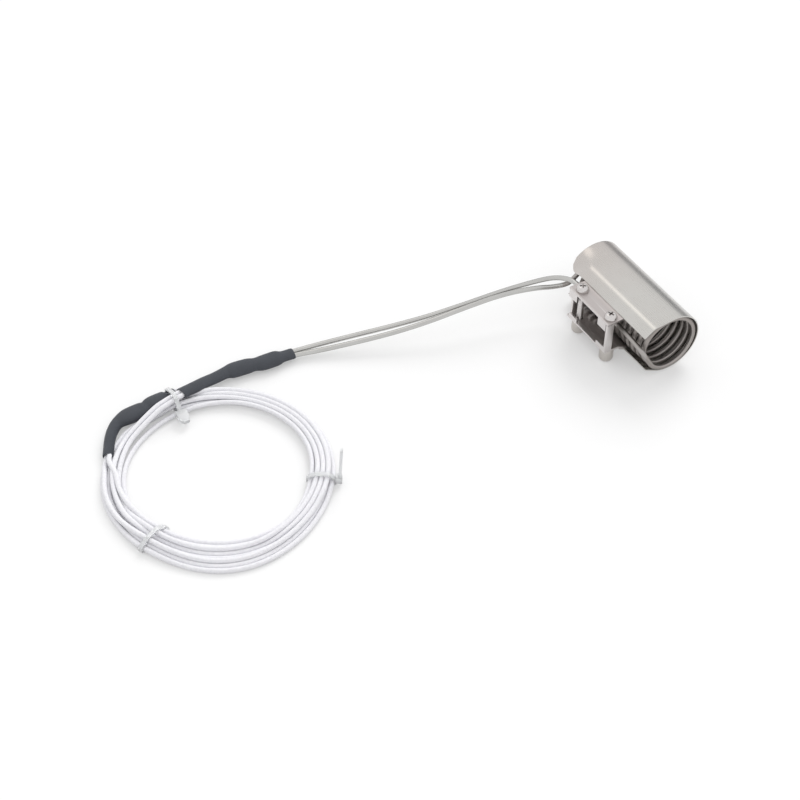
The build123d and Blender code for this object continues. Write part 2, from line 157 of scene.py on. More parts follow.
def tube_mesh(name, line, radius, sides):
    """Round tube round a line. U goes once round it, V is metres along it."""
    mesh = bpy.data.meshes.new(name)
    bm = bmesh.new()
    wrap = bm.loops.layers.uv.new("wrap")
    along = (line[1] - line[0]).normalized()
    side = along.orthogonal().normalized()
    rings = []
    travelled = [0.0]
    for i, place in enumerate(line):
        before = line[max(i - 1, 0)]
        after = line[min(i + 1, len(line) - 1)]
        turned = (after - before).normalized()
        side = along.rotation_difference(turned) @ side
        along = turned
        side = (side - along * side.dot(along)).normalized()
        up = along.cross(side)
        ring = []
        for k in range(sides):
            a = 2 * math.pi * k / sides
            ring.append(bm.verts.new(place + (side * math.cos(a) + up * math.sin(a)) * radius))
        rings.append(ring)
        if i:
            travelled.append(travelled[-1] + (place - before).length)
    for i in range(len(rings) - 1):
        for k in range(sides):
            n = (k + 1) % sides
            face = bm.faces.new((rings[i][k], rings[i][n], rings[i + 1][n], rings[i + 1][k]))
            face.smooth = True
            corners = ((k, i), (k + 1, i), (k + 1, i + 1), (k, i + 1))
            for loop, (u, v) in zip(face.loops, corners):
                loop[wrap].uv = (u / sides, travelled[v])
    bm.faces.new(rings[0][::-1])
    bm.faces.new(rings[-1])
    bm.to_mesh(mesh)
    bm.free()
    mesh.set_sharp_from_angle(angle=math.radians(60))
    return mesh


def put_in_scene(name, data):
    """A new object with this data, in the scene."""
    item = bpy.data.objects.new(name, data)
    bpy.context.scene.collection.objects.link(item)
    return item


def place_piece(name, mesh, material):
    """A piece of the heater with this mesh and material, hung under the root body."""
    piece = put_in_scene(name, mesh)
    mesh.materials.clear()
    mesh.materials.append(material)
    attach(piece, "root")
    return piece


turns = []
run_count = round((last_angle - first_angle) / 360 * runs_a_turn)
for i in range(run_count + 1):
    degrees = i * (last_angle - first_angle) / run_count
    into = min(i, run_count - i) / runs_a_turn - bored_turns
    r = bored_turn_radius + (turn_radius - bored_turn_radius) * min(max(into * 4 + 0.5, 0), 1)
    a = math.radians(first_angle + degrees)
    turns.append((coil_front - degrees / 360 * turn_pitch, r * math.cos(a), r * math.sin(a)))
coil_mesh = tube_mesh("heating_coil_dressed", smooth_line(return_leg + turns + far_end, 4), tube_radius, 20)
for v in coil_mesh.vertices:
    off_axis = math.hypot(v.co.y, v.co.z)
    if off_axis < bore_radius:
        v.co.y *= bore_radius / off_axis
        v.co.z *= bore_radius / off_axis

coil_steel, shader, channel = finish("heat-browned tube steel", Metallic=1.0)
place = channel.add("ShaderNodeTexCoord", output="Object")
stain = channel.add("ShaderNodeTexNoise", values={"Vector": place, "Scale": 160.0, "Detail": 4.0})
bands = channel.add("ShaderNodeTexNoise", values={"Vector": place, "Scale": 45.0, "Detail": 2.0})
y_off = channel.add("ShaderNodeSeparateXYZ", values={0: place}, output=1)
z_off = channel.add("ShaderNodeSeparateXYZ", values={0: place}, output=2)
off_axis = channel.maths("POWER", y_off * y_off + z_off * z_off, 0.5)
wear_and_edge_highlight = channel.add("ShaderNodeMapRange", values={0: off_axis, 1: 0.0119, 2: 0.0113, 3: 0.0, 4: 1.0})
outside = channel.add("ShaderNodeMapRange", values={0: off_axis, 1: 0.0136, 2: 0.0141, 3: 0.0, 4: 1.0})
browned = bands.blend((0.29, 0.265, 0.25, 1), (0.41, 0.38, 0.36, 1))
brushed = stain.blend((0.36, 0.34, 0.325, 1), (0.46, 0.435, 0.42, 1))
bright = channel.maths("MAXIMUM", wear_and_edge_highlight * 0.85, outside)
channel.feed(shader, "Base Color", bright.blend(browned, brushed))
channel.feed(shader, "Roughness", 0.5 - bright * 0.14 + stain * 0.1)
scratches = channel.add("ShaderNodeTexNoise", values={"Vector": place, "Scale": 2400.0, "Detail": 3.0})
roughen(channel, shader, scratches, 0.12, 0.0001)
coil = place_piece("heating_coil_dressed", coil_mesh, coil_steel)
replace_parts(coil, "heating_coil")

# Sleeve: 0.5 mm stainless sheet rolled round the turns, with its two edges left open as flaps.
# The upper edge runs off level, then bends down to the clamp; at the far end it follows the round again.
# Brushed in the rolling direction; a faint straw tint from heat at the far end, and tumbled edges.
sleeve_radius = 0.0143
sheet_thickness = 0.0005
sleeve_length = 0.0572
upper_leave = math.radians(6.0)
upper_level = 0.009
upper_slope = math.radians(36.2)
upper_flap = 0.00599
bend_radius = 0.0062
lower_leave = math.radians(26.5)
lower_flap = 0.0067
held_flap = 0.0096
jaw_front = -0.015
jaw_back = -0.0433
far_round = math.radians(158)
blend_start = -0.04469
blend_end = -0.05581
corner_start = -0.0522
corner_turn = 0.42
round_steps = 110
rim_radius = 0.00014


def between(value, low, high):
    """How far the value has come from low to high, as 0 to 1."""
    return min(max((value - low) / (high - low), 0.0), 1.0)


def flap_point(leave, way, distance, s):
    """Point in the YZ plane on the upper (way 1) or lower (way -1) flap, s along it from the round."""
    across = (-math.sin(leave), way * math.cos(leave))
    out = (-math.cos(leave), -way * math.sin(leave))
    return Vector((across[0] * distance + out[0] * s, across[1] * distance + out[1] * s))


def upper_edge_line():
    """The upper part's outer face as the clamp holds it, from its edge to where the round begins."""
    bend = flap_point(upper_leave, 1, sleeve_radius, upper_level)
    fall = Vector((-math.cos(upper_slope), -math.sin(upper_slope)))
    level = Vector((math.cos(upper_leave), math.sin(upper_leave)))
    tangent = bend_radius * math.tan((upper_slope - upper_leave) / 2)
    line = [bend + fall * (tangent + (upper_flap - tangent) * (1 - i / 5)) for i in range(5)]
    centre = bend + fall * tangent + Vector((math.sin(upper_slope), -math.cos(upper_slope))) * bend_radius
    for i in range(9):
        a = upper_slope + (upper_leave - upper_slope) * i / 8
        line.append(centre + Vector((-math.sin(a), math.cos(a))) * bend_radius)
    start = bend + level * tangent
    return line + [start + level * (upper_level - tangent) * i / 8 for i in range(1, 8)]


def outer_line(x):
    """The sheet's outer face at x, from the upper edge round to the lower one."""
    rounded = between(x, blend_start, blend_end)
    rounded = rounded * rounded * (3 - 2 * rounded)
    held = upper_edge_line()
    line = []
    corner = between(x, corner_start, -sleeve_length)
    edge = far_round - corner_turn * (1 - math.sqrt(1 - corner * corner))
    for i, spot in enumerate(held):
        a = edge + (math.pi / 2 + upper_leave - edge) * i / len(held)
        line.append(spot.lerp(Vector((math.cos(a), math.sin(a))) * sleeve_radius, rounded))
    sweep = math.pi + upper_leave + lower_leave
    for i in range(round_steps + 1):
        a = math.pi / 2 + upper_leave - sweep * i / round_steps
        line.append(Vector((math.cos(a), math.sin(a))) * sleeve_radius)
    for s in (0.0025, lower_flap, held_flap):
        line.append(flap_point(lower_leave, -1, sleeve_radius, s))
    return line


def inner_line(line):
    """The line moved inwards by the sheet's thickness."""
    moved = []
    for i, spot in enumerate(line):
        ahead = (line[min(i + 1, len(line) - 1)] - line[max(i - 1, 0)]).normalized()
        moved.append(spot + Vector((ahead.y, -ahead.x)) * sheet_thickness)
    return moved


def smoothed_mesh(name, bm, sharp_degrees=180):
    """The mesh of a closed form, smooth but for its edges past this angle."""
    bmesh.ops.recalc_face_normals(bm, faces=bm.faces)
    for face in bm.faces:
        face.smooth = True
    mesh = bpy.data.meshes.new(name)
    bm.to_mesh(mesh)
    bm.free()
    if sharp_degrees < 180:
        mesh.set_sharp_from_angle(angle=math.radians(sharp_degrees))
    return mesh


cuts = [0.0, -0.0004, -0.0015, -0.004, -0.009, jaw_front, -0.022, -0.029, -0.036, -0.041, jaw_back]
cuts += [-0.0445, -0.046, -0.0475, -0.049, -0.0505, -0.052, -0.0535, -0.055, -0.0564, -sleeve_length]
bm = bmesh.new()
skins = [[], []]
for x in cuts:
    outer = outer_line(x)
    skins[0].append([bm.verts.new((x, *spot)) for spot in outer])
    skins[1].append([bm.verts.new((x, *spot)) for spot in inner_line(outer)])
columns = len(skins[0][0]) - 1
cells = {}
for i in range(len(cuts) - 1):
    for k in range(columns):
        in_clamp = jaw_front >= cuts[i] - 1e-9 and cuts[i + 1] >= jaw_back - 1e-9
        cells[i, k] = k < columns - 1 or in_clamp
for (i, k), kept in cells.items():
    if not kept:
        continue
    for skin, flip in zip(skins, (False, True)):
        quad = [skin[i][k], skin[i][k + 1], skin[i + 1][k + 1], skin[i + 1][k]]
        bm.faces.new(quad if flip else quad[::-1])
    sides = (
        ((i, k), (i, k + 1), (i - 1, k)),
        ((i, k + 1), (i + 1, k + 1), (i, k + 1)),
        ((i + 1, k + 1), (i + 1, k), (i + 1, k)),
        ((i + 1, k), (i, k), (i, k - 1)),
    )
    for (row_a, col_a), (row_b, col_b), neighbour in sides:
        if not cells.get(neighbour, False):
            near = [skin[row_a][col_a] for skin in skins]
            far = [skin[row_b][col_b] for skin in skins]
            bm.faces.new((near[0], far[0], far[1], near[1]))
bmesh.ops.recalc_face_normals(bm, faces=bm.faces)
rims = [e for e in bm.edges if e.is_manifold and e.calc_face_angle(0) > math.radians(50)]
bmesh.ops.bevel(
    bm, geom=rims, offset=rim_radius, segments=2, profile=0.6, affect="EDGES", clamp_overlap=True
)
sleeve_mesh = smoothed_mesh("clamp_sleeve_dressed", bm, 38)

sleeve_steel, shader, channel = finish("rolled stainless sheet", Metallic=1.0)
place = channel.add("ShaderNodeTexCoord", output="Object")
along_x = channel.add("ShaderNodeSeparateXYZ", values={0: place}, output=0)
grain_place = channel.add("ShaderNodeMapping", values={"Vector": place, "Scale": (90.0, 5200.0, 5200.0)})
grain = channel.add("ShaderNodeTexNoise", values={"Vector": grain_place, "Scale": 1.0, "Detail": 4.0})
cloud = channel.add("ShaderNodeTexNoise", values={"Vector": place, "Scale": 70.0, "Detail": 3.0})
heated = channel.add("ShaderNodeMapRange", values={0: along_x, 1: -0.02, 2: -0.06, 3: 0.0, 4: 1.0})
clean = cloud.blend((0.54, 0.525, 0.50, 1), (0.61, 0.60, 0.58, 1))
straw = cloud.blend((0.52, 0.485, 0.46, 1), (0.57, 0.53, 0.51, 1))
channel.feed(shader, "Base Color", heated.blend(clean, straw))
channel.feed(shader, "Roughness", 0.2 + cloud * 0.08 + grain * 0.08)
roughen(channel, shader, grain, 0.04, 0.00003)
sleeve = place_piece("clamp_sleeve_dressed", sleeve_mesh, sleeve_steel)
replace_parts(sleeve, "clamp_sleeve")

# Jaws: two folded 1 mm plates, each on a leg that is welded inside its flap, with lips and stops.
# Blasted stainless, a little warm in colour, its cut edges rounded and a little smoother, with a painted
# highlight lightening their colour.
jaw_edge_radius = 0.0003


def with_soft_edges(node, name, width):
    """A copy of a CAD node's mesh with its facets merged and its sharp edges rounded."""
    bm = bmesh.new()
    bm.from_mesh(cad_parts[node].data)
    bmesh.ops.remove_doubles(bm, verts=bm.verts, dist=1e-6)
    bmesh.ops.dissolve_limit(bm, angle_limit=math.radians(0.5), verts=bm.verts, edges=bm.edges)
    sharp = [e for e in bm.edges if e.is_manifold and e.calc_face_angle(0) > math.radians(40)]
    bmesh.ops.bevel(
        bm, geom=sharp, offset=width, segments=3, profile=0.6, affect="EDGES", clamp_overlap=True
    )
    return smoothed_mesh(name, bm, 35)


jaw_steel, shader, channel = finish("blasted jaw plate", Metallic=1.0)
place = channel.add("ShaderNodeTexCoord", output="Object")
speckle = channel.add("ShaderNodeTexNoise", values={"Vector": place, "Scale": 3200.0, "Detail": 3.0})
cloud = channel.add("ShaderNodeTexNoise", values={"Vector": place, "Scale": 130.0, "Detail": 3.0})
# Painted highlight: sharp edges, found by pointiness, get a lighter colour as if the light caught them.
edge_pointiness = channel.add("ShaderNodeNewGeometry", output="Pointiness")
wear_and_edge_highlight = channel.add("ShaderNodeMapRange", values={0: edge_pointiness, 1: 0.51, 2: 0.56, 3: 0.0, 4: 1.0})
plate_colour = cloud.blend((0.47, 0.435, 0.425, 1), (0.55, 0.51, 0.50, 1))
channel.feed(shader, "Base Color", wear_and_edge_highlight.blend(plate_colour, (0.72, 0.69, 0.68, 1)))
channel.feed(shader, "Roughness", 0.34 + speckle * 0.16 - wear_and_edge_highlight * 0.08)
roughen(channel, shader, speckle, 0.2, 0.00004)
for node in ("upper_jaw", "lower_jaw"):
    mesh = with_soft_edges(node, node + "_dressed", jaw_edge_radius)
    jaw = place_piece(node + "_dressed", mesh, jaw_steel)
    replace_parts(jaw, node)

# Screws: M3 pan heads with a cross recess, turned and rolled, bright zinc finish.
# Each sits on the upper jaw and runs down into its nut.
screw_places = (-0.0182, -0.0388)
screw_y = -0.0194
head_radius = 0.0028
head_height = 0.0024
shank_radius = 0.00146
thread_pitch = 0.0005
thread_depth = 0.00022
recess_reach = 0.0016
recess_half = 0.0004
recess_depth = 0.0013


def bridge(bm, near, far):
    """A band of faces between two rings."""
    for k in range(len(near)):
        n = (k + 1) % len(near)
        bm.faces.new((near[k], near[n], far[n], far[k]))


def turned_mesh(name, profile, sides):
    """Solid of revolution about Z from (radius, height) pairs that start and end on the axis."""
    bm = bmesh.new()
    rings = []
    for r, z in profile[1:-1]:
        ring = []
        for k in range(sides):
            a = 2 * math.pi * k / sides
            ring.append(bm.verts.new((r * math.cos(a), r * math.sin(a), z)))
        rings.append(ring)
    first = bm.verts.new((0, 0, profile[0][1]))
    last = bm.verts.new((0, 0, profile[-1][1]))
    for k in range(sides):
        n = (k + 1) % sides
        bm.faces.new((first, rings[0][k], rings[0][n]))
        bm.faces.new((last, rings[-1][n], rings[-1][k]))
    for near, far in zip(rings, rings[1:]):
        bridge(bm, near, far)
    return smoothed_mesh(name, bm)


def carved(mesh, cutter):
    """The mesh less the cutter's mesh."""
    body = put_in_scene("body", mesh)
    tool = put_in_scene("tool", cutter)
    step = body.modifiers.new("carve", "BOOLEAN")
    step.operation = "DIFFERENCE"
    step.object = tool
    step.solver = "EXACT"
    graph = bpy.context.evaluated_depsgraph_get()
    result = bpy.data.meshes.new_from_object(body.evaluated_get(graph))
    for o in (body, tool):
        bpy.data.objects.remove(o)
    return result


def cross_cutter():
    """Tapered cross that cuts the driver's recess."""
    arm, half = recess_reach, recess_half
    outline = []
    for turn in range(4):
        for x, y in ((arm, -half), (arm, half), (half, half)):
            for quarter in range(turn):
                x, y = -y, x
            outline.append((x, y))
    bm = bmesh.new()
    upper = [bm.verts.new((x, y, head_height + 0.0004)) for x, y in outline]
    lower = [bm.verts.new((x * 0.6, y * 0.6, head_height - recess_depth)) for x, y in outline]
    bm.faces.new(upper)
    bm.faces.new(lower)
    bridge(bm, upper, lower)
    return smoothed_mesh("cross", bm)


head_profile = [
    (0.0, head_height),
    (0.0009, head_height - 0.00002),
    (0.0015, head_height - 0.0001),
    (0.0020, head_height - 0.0003),
    (0.0024, head_height - 0.0007),
    (0.00266, head_height - 0.0012),
    (0.00278, head_height - 0.0017),
    (head_radius, 0.0004),
    (head_radius - 0.0001, 0.00008),
    (head_radius - 0.0002, 0.0),
    (0.0015, 0.0),
    (0.0, 0.0),
]


def threaded_shank(length):
    """Shank under the head; its radius follows a thread wound down it."""
    bm = bmesh.new()
    sides = 24
    rows = int(length / thread_pitch * 6)
    rings = []
    for i in range(rows + 1):
        z = -length * i / rows
        ring = []
        for k in range(sides):
            phase = (-z / thread_pitch + k / sides) % 1
            r = shank_radius - thread_depth * abs(2 * phase - 1)
            a = 2 * math.pi * k / sides
            ring.append(bm.verts.new((r * math.cos(a), r * math.sin(a), z)))
        rings.append(ring)
    for near, far in zip(rings, rings[1:]):
        for k in range(sides):
            n = (k + 1) % sides
            bm.faces.new((near[k], far[k], far[n], near[n])).smooth = True
    bm.faces.new(rings[0])
    bm.faces.new(rings[-1][::-1])
    bmesh.ops.recalc_face_normals(bm, faces=bm.faces)
    mesh = bpy.data.meshes.new("shank")
    bm.to_mesh(mesh)
    bm.free()
    return mesh


def joined(name, parts):
    """One mesh from (mesh, matrix) pairs."""
    bm = bmesh.new()
    for mesh, matrix in parts:
        copy = mesh.copy()
        copy.transform(matrix)
        bm.from_mesh(copy)
        bpy.data.meshes.remove(copy)
    mesh = bpy.data.meshes.new(name)
    bm.to_mesh(mesh)
    bm.free()
    return mesh


screw_steel, shader, channel = finish("bright plated screw", Metallic=1.0)
place = channel.add("ShaderNodeTexCoord", output="Object")
speckle = channel.add("ShaderNodeTexNoise", values={"Vector": place, "Scale": 1500.0, "Detail": 3.0})
channel.feed(shader, "Base Color", speckle.blend((0.56, 0.53, 0.52, 1), (0.72, 0.70, 0.69, 1)))
channel.feed(shader, "Roughness", 0.14 + speckle * 0.14)
roughen(channel, shader, speckle, 0.1, 0.00004)
screw_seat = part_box("clamp_screw_1")[1].z - head_height
screw_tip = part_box("clamp_screw_1")[0].z
head_mesh = carved(turned_mesh("head", head_profile, 48), cross_cutter())
for face in head_mesh.polygons:
    face.use_smooth = True
head_mesh.set_sharp_from_angle(angle=math.radians(32))
shank_mesh = threaded_shank(screw_seat - screw_tip)
for i, x in enumerate(screw_places):
    at = Matrix.Translation((x, screw_y, screw_seat)) @ Matrix.Rotation(math.radians(20 + 37 * i), 4, "Z")
    name = f"clamp_screw_{i + 1}"
    mesh = joined(name, [(head_mesh, at), (shank_mesh, at)])
    screw = place_piece(name + "_dressed", mesh, screw_steel)
    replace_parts(screw, name)

# Nuts: round closed nuts with a domed end, riveted under the lower jaw; the heater's second rest.
# Turned stainless with fine tool marks round it.
nut_radius = 0.0031
nut_dome = 0.0018
nut_steel, shader, channel = finish("turned nut", Metallic=1.0)
place = channel.add("ShaderNodeTexCoord", output="Object")
ring_place = channel.add("ShaderNodeMapping", values={"Vector": place, "Scale": (300.0, 300.0, 9000.0)})
tool_marks = channel.add("ShaderNodeTexNoise", values={"Vector": ring_place, "Scale": 1.0, "Detail": 2.0})
cloud = channel.add("ShaderNodeTexNoise", values={"Vector": place, "Scale": 400.0, "Detail": 2.0})
channel.feed(shader, "Base Color", cloud.blend((0.50, 0.475, 0.45, 1), (0.60, 0.57, 0.54, 1)))
channel.feed(shader, "Roughness", 0.26 + tool_marks * 0.14)
roughen(channel, shader, tool_marks, 0.1, 0.00004)
nut_low, nut_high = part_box("clamp_nut_1")
nut_profile = [(0.0, nut_low.z)]
for i in range(9):
    a = math.radians(90 * i / 8)
    r = nut_radius - nut_dome + nut_dome * math.sin(a)
    nut_profile.append((r, nut_low.z + nut_dome - nut_dome * math.cos(a)))
nut_profile += [(nut_radius, nut_high.z - 0.00015), (nut_radius - 0.0001, nut_high.z), (0.0017, nut_high.z)]
nut_profile += [(0.0016, nut_high.z - 0.0001), (0.00155, nut_low.z + 0.0019), (0.0, nut_low.z + 0.0018)]
for i, x in enumerate(screw_places):
    name = f"clamp_nut_{i + 1}"
    mesh = turned_mesh(name, nut_profile, 40)
    mesh.transform(Matrix.Translation((x, screw_y, 0)))
    mesh.set_sharp_from_angle(angle=math.radians(40))
    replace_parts(place_piece(name + "_dressed", mesh, nut_steel), name)

# Crimps: four plain steel barrels, pressed over the joints between the leads and the wires.
# They are hidden in the shrink sleeves, so the CAD solids stay and get this finish.
crimp_steel, shader, channel = finish("crimp barrel", Metallic=1.0)
place = channel.add("ShaderNodeTexCoord", output="Object")
cloud = channel.add("ShaderNodeTexNoise", values={"Vector": place, "Scale": 500.0, "Detail": 3.0})
channel.feed(shader, "Base Color", cloud.blend((0.60, 0.59, 0.58, 1), (0.74, 0.73, 0.72, 1)))
channel.feed(shader, "Roughness", 0.3 + cloud * 0.15)
for i in range(4):
    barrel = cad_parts[f"crimp_{i + 1}"]
    barrel.data.materials.clear()
    barrel.data.materials.append(crimp_steel)

# Shrink sleeves: dark grey heat-shrink tubing over each pair of joints, drawn in tight over the barrels.
# Matt polyolefin with a faint grain; its ends stay open round the leads and wires.
# A row is a place on the middle line, half the width and half the height.
shrink_wall = 0.00045
shrink_sections = [
    [
        (-0.086, -0.136, -0.0116, 0.00295, 0.0018),
        (-0.0863, -0.141, -0.0114, 0.00295, 0.0019),
        (-0.0865, -0.144, -0.0112, 0.0039, 0.0026),
        (-0.0869, -0.1503, -0.0112, 0.0039, 0.0026),
        (-0.0877, -0.1537, -0.0112, 0.0035, 0.0021),
        (-0.0884, -0.157, -0.0112, 0.0039, 0.0026),
        (-0.0891, -0.1634, -0.0112, 0.0039, 0.0026),
        (-0.0893, -0.1668, -0.0112, 0.0031, 0.00195),
        (-0.08834, -0.17198, -0.0108, 0.00295, 0.00185),
        (-0.08719, -0.17784, -0.0099, 0.00295, 0.00185),
        (-0.0853, -0.18393, -0.0086, 0.00295, 0.0018),
        (-0.0837, -0.18945, -0.0074, 0.0029, 0.00175),
    ],
    [
        (-0.0886, -0.1902, -0.0109, 0.0029, 0.00175),
        (-0.0881, -0.1932, -0.01095, 0.00295, 0.00185),
        (-0.0875, -0.1952, -0.011, 0.0041, 0.0027),
        (-0.0871, -0.2014, -0.011, 0.0043, 0.0028),
        (-0.0866, -0.2042, -0.0111, 0.0037, 0.0022),
        (-0.0863, -0.2068, -0.0112, 0.0042, 0.0027),
        (-0.086, -0.2132, -0.0112, 0.004, 0.0026),
        (-0.08495, -0.2178, -0.0116, 0.0028, 0.0022),
        (-0.0819, -0.22135, -0.01185, 0.00245, 0.0022),
        (-0.0779, -0.22415, -0.01195, 0.0023, 0.0022),
        (-0.0734, -0.22645, -0.012, 0.00225, 0.0022),
        (-0.0698, -0.22825, -0.012, 0.00222, 0.00215),
    ],
]


def eased(rows, steps):
    """Rows of numbers with smooth steps put between them."""
    result = []
    for i in range(len(rows) - 1):
        a, b = rows[max(i - 1, 0)], rows[i]
        c, d = rows[i + 1], rows[min(i + 2, len(rows) - 1)]
        for k in range(steps):
            t = k / steps
            row = []
            for p, q, r, s in zip(a, b, c, d):
                curved = (2 * p - 5 * q + 4 * r - s) * t * t
                twisted = (3 * q - p - 3 * r + s) * t ** 3
                row.append(0.5 * (2 * q + (r - p) * t + curved + twisted))
            result.append(tuple(row))
    result.append(rows[-1])
    return result


def shrunk_mesh(name, sections):
    """Open tube with these sections; its wall is as thick as the tubing's."""
    rows = eased(sections, 5)
    places = [Vector(row[:3]) for row in rows]
    bm = bmesh.new()
    sides = 32
    skins = [[], []]
    for i, (place, row) in enumerate(zip(places, rows)):
        along = (places[min(i + 1, len(rows) - 1)] - places[max(i - 1, 0)]).normalized()
        side = Vector((0, 0, 1)).cross(along).normalized()
        up = along.cross(side)
        lip = 0.00012 if i in (0, len(rows) - 1) else 0.0
        for skin, less in zip(skins, (lip, shrink_wall - lip)):
            ring = []
            for k in range(sides):
                a = 2 * math.pi * k / sides
                spot = place + side * math.cos(a) * (row[3] - less) + up * math.sin(a) * (row[4] - less)
                ring.append(bm.verts.new(spot))
            skin.append(ring)
    for skin in skins:
        for near, far in zip(skin, skin[1:]):
            bridge(bm, near, far)
    for end in (0, -1):
        bridge(bm, skins[0][end], skins[1][end])
    return smoothed_mesh(name, bm, 50)


shrink_skin, shader, channel = finish("grey heat-shrink tubing", Metallic=0.0)
place = channel.add("ShaderNodeTexCoord", output="Object")
grain = channel.add("ShaderNodeTexNoise", values={"Vector": place, "Scale": 2600.0, "Detail": 3.0})
cloud = channel.add("ShaderNodeTexNoise", values={"Vector": place, "Scale": 180.0, "Detail": 3.0})
channel.feed(shader, "Base Color", cloud.blend((0.030, 0.034, 0.043, 1), (0.058, 0.064, 0.077, 1)))
channel.feed(shader, "Roughness", 0.5 + cloud * 0.12)
height = grain * 0.5 + cloud
roughen(channel, shader, height, 0.9, 0.0004)
shrink_pieces = []
for i, sections in enumerate(shrink_sections):
    name = f"shrink_sleeve_{i + 1}"
    mesh = shrunk_mesh(name + "_dressed", sections)
    piece = place_piece(name + "_dressed", mesh, shrink_skin)
    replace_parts(piece, name)
    shrink_pieces.append(piece)

# Wires: four fibreglass-braided supply wires, 2.1 mm, each wound about two turns into one bundle.
# Wires 1 and 2 come from the first sleeve over the top and leave below and outside to the second;
# wires 3 and 4 come out of the second sleeve, and wire 4 crosses over to the inner side.
wire_radius = 0.00105
ring_centre = Vector((-0.0375, -0.1933, 0))
floor_height = -0.0143
# The ring's inner and outer strand: millimetres from its centre, every 15 degrees.
inner_lane = (35.3, 36.6, 36.8, 37.3, 37.8, 38.5, 39.6, 40.2, 40.7, 41.1, 41.7, 42.3,
              42.2, 40.8, 39.8, 39.0, 38.2, 37.6, 37.3, 36.5, 34.4, 33.0, 33.5, 34.3)
outer_lane = (46.1, 43.8, 42.6, 42.1, 42.8, 43.9, 44.8, 46.2, 47.3, 49.2, 50.4, 50.4,
              48.5, 47.2, 47.6, 46.8, 46.8, 45.4, 43.9, 42.7, 43.0, 44.7, 46.8, 47.8)
stations_a_turn = 36
tie_angles = (179.3, 57.6, 293.5)
wire_starts = {
    "wire_1": [
        (-0.08823, -0.14845, -0.0112),
        (-0.0885, -0.1526, -0.0112),
        (-0.09055, -0.1576, -0.0112),
        (-0.0912, -0.1632, -0.0112),
        (-0.0904, -0.1669, -0.0112),
        (-0.08942, -0.17217, -0.0108),
        (-0.08826, -0.17811, -0.0099),
        (-0.08635, -0.18425, -0.0086),
        (-0.08476, -0.18976, -0.0074),
        (-0.084, -0.1927, -0.0072),
        (-0.0832, -0.1972, -0.0076),
        (-0.0824, -0.202, -0.0082),
    ],
    "wire_2": [
        (-0.08746, -0.16155, -0.0112),
        (-0.08775, -0.1642, -0.0112),
        (-0.0882, -0.1668, -0.0112),
        (-0.08726, -0.17179, -0.0108),
        (-0.08612, -0.17757, -0.0099),
        (-0.08425, -0.18361, -0.0086),
        (-0.08264, -0.18914, -0.0074),
        (-0.0818, -0.1922, -0.0072),
        (-0.0809, -0.1968, -0.0076),
        (-0.0801, -0.2014, -0.0082),
    ],
    "wire_3": [
        (-0.08869, -0.19935, -0.011),
        (-0.0884, -0.206, -0.0111),
        (-0.08805, -0.213, -0.0113),
        (-0.08561, -0.21813, -0.0121),
        (-0.0824, -0.2219, -0.01255),
        (-0.07828, -0.22478, -0.0127),
        (-0.07373, -0.22711, -0.01274),
        (-0.07013, -0.22891, -0.01274),
        (-0.0668, -0.2311, -0.013),
    ],
    "wire_4": [
        (-0.08464, -0.21115, -0.0112),
        (-0.0845, -0.214, -0.0112),
        (-0.08429, -0.21747, -0.0111),
        (-0.0814, -0.2208, -0.01115),
        (-0.07752, -0.22352, -0.0112),
        (-0.07307, -0.22579, -0.01126),
        (-0.06947, -0.22759, -0.01126),
        (-0.0662, -0.2293, -0.0109),
    ],
}
wire_ends = {
    "wire_1": [
        (-0.0843, -0.1759, -0.013),
        (-0.0865, -0.1811, -0.0131),
        (-0.0889, -0.1854, -0.0124),
        (-0.0899, -0.1884, -0.0112),
        (-0.0896, -0.1909, -0.0109),
        (-0.08905, -0.1937, -0.01098),
        (-0.08885, -0.19685, -0.011),
    ],
    "wire_2": [
        (-0.0821, -0.1768, -0.013),
        (-0.0843, -0.182, -0.0131),
        (-0.0867, -0.186, -0.0123),
        (-0.0877, -0.1892, -0.011),
        (-0.0871, -0.1929, -0.01095),
        (-0.08515, -0.1972, -0.011),
        (-0.08495, -0.2012, -0.011),
        (-0.08477, -0.20865, -0.0112),
    ],
    "wire_3": [],
    "wire_4": [],
}
# First and last station, and the lane in the first turn and in the second: 0 is inside, 1 is outside.
wound = {
    "wire_1": (21, 87, 0.43, 1.0),
    "wire_2": (21, 87, 0.28, 0.86),
    "wire_3": (24, 90, 0.71, 0.57),
    "wire_4": (24, 90, 0.0, 0.14),
}
# Where a wire joins the ring: its distance from the centre and lift there, and the angles between
# which it moves into its lane and comes down.
entry = {
    "wire_1": (0.0472, 0.0024, 205, 235, 205, 250),
    "wire_2": (0.0450, 0.0024, 205, 235, 205, 250),
    "wire_3": (0.0474, 0.0, 250, 290, 250, 290),
    "wire_4": (0.0448, 0.0034, 236, 272, 256, 285),
}
waver = 0.0003
waver_pace = 0.42
waver_shift = 9
tight_width = 0.006
loose_width = 0.0115
top_lift = 0.0026
strap_lift = 0.0009
apart = 2 * wire_radius + 0.00006
pulls = (0.04, 0.02)
stiffness = 0.12
sag = 0.00004
sweeps = 260


def near_tie(degrees):
    """1 at a tie, falling to 0 about 25 degrees away."""
    away = min(abs((degrees - t + 180) % 360 - 180) for t in tie_angles)
    return max(0.0, 1 - away / 25)


def lane_place(lanes, degrees):
    """Distance from the centre, in metres, of a lane that is given every 15 degrees."""
    step = degrees / 15
    low = lanes[math.floor(step) % 24]
    high = lanes[math.ceil(step) % 24]
    return 0.001 * (low + (high - low) * (step - math.floor(step)))


